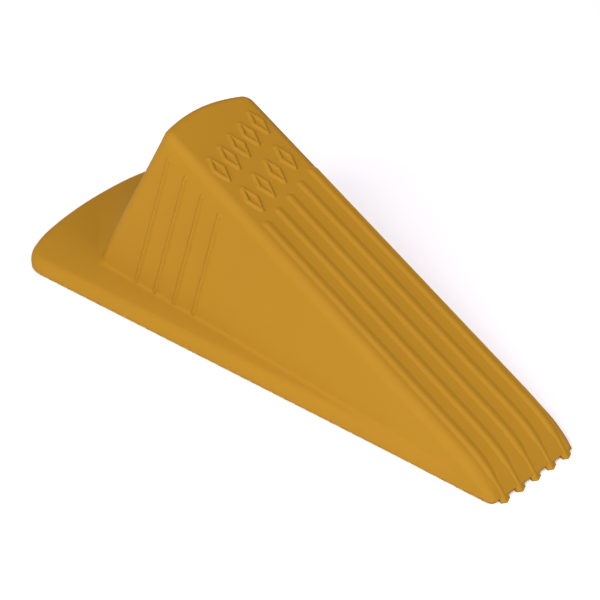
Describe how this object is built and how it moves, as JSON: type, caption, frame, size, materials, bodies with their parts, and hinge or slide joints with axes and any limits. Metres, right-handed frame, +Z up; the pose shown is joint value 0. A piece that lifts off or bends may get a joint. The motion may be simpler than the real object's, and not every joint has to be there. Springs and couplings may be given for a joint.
{
  "type": "door wedge",
  "caption": "Large moulded rubber door wedge with a wide bowed heel plate, a ribbed ramp that wraps the nose, and ribbed flanks.",
  "frame": {"origin": "on the floor, under the middle of the bounding box", "axes": "+X from the heel to the toe, +Z up, +Y to the left seen from behind the heel"},
  "size_m": [0.1714, 0.089, 0.051],
  "materials": {
    "rubber": "matte moulded rubber, safety yellow"
  },
  "bodies": {
    "root": {"wedge_shell": "rubber", "ramp_rib_1": "rubber", "ramp_rib_2": "rubber", "ramp_rib_3": "rubber", "ramp_rib_4": "rubber", "ramp_rib_5": "rubber", "left_flank_rib_1": "rubber", "left_flank_rib_2": "rubber", "left_flank_rib_3": "rubber", "left_flank_rib_4": "rubber", "right_flank_rib_1": "rubber", "right_flank_rib_2": "rubber", "right_flank_rib_3": "rubber", "right_flank_rib_4": "rubber", "upper_lozenge_1": "rubber", "upper_lozenge_2": "rubber", "upper_lozenge_3": "rubber", "upper_lozenge_4": "rubber", "upper_lozenge_5": "rubber", "lower_lozenge_1": "rubber", "lower_lozenge_2": "rubber", "lower_lozenge_3": "rubber", "lower_lozenge_4": "rubber", "centre_web": "rubber", "left_cross_web_1": "rubber", "left_cross_web_2": "rubber", "left_cross_web_3": "rubber", "right_cross_web_1": "rubber", "right_cross_web_2": "rubber", "right_cross_web_3": "rubber"}
  },
  "joints": []
}
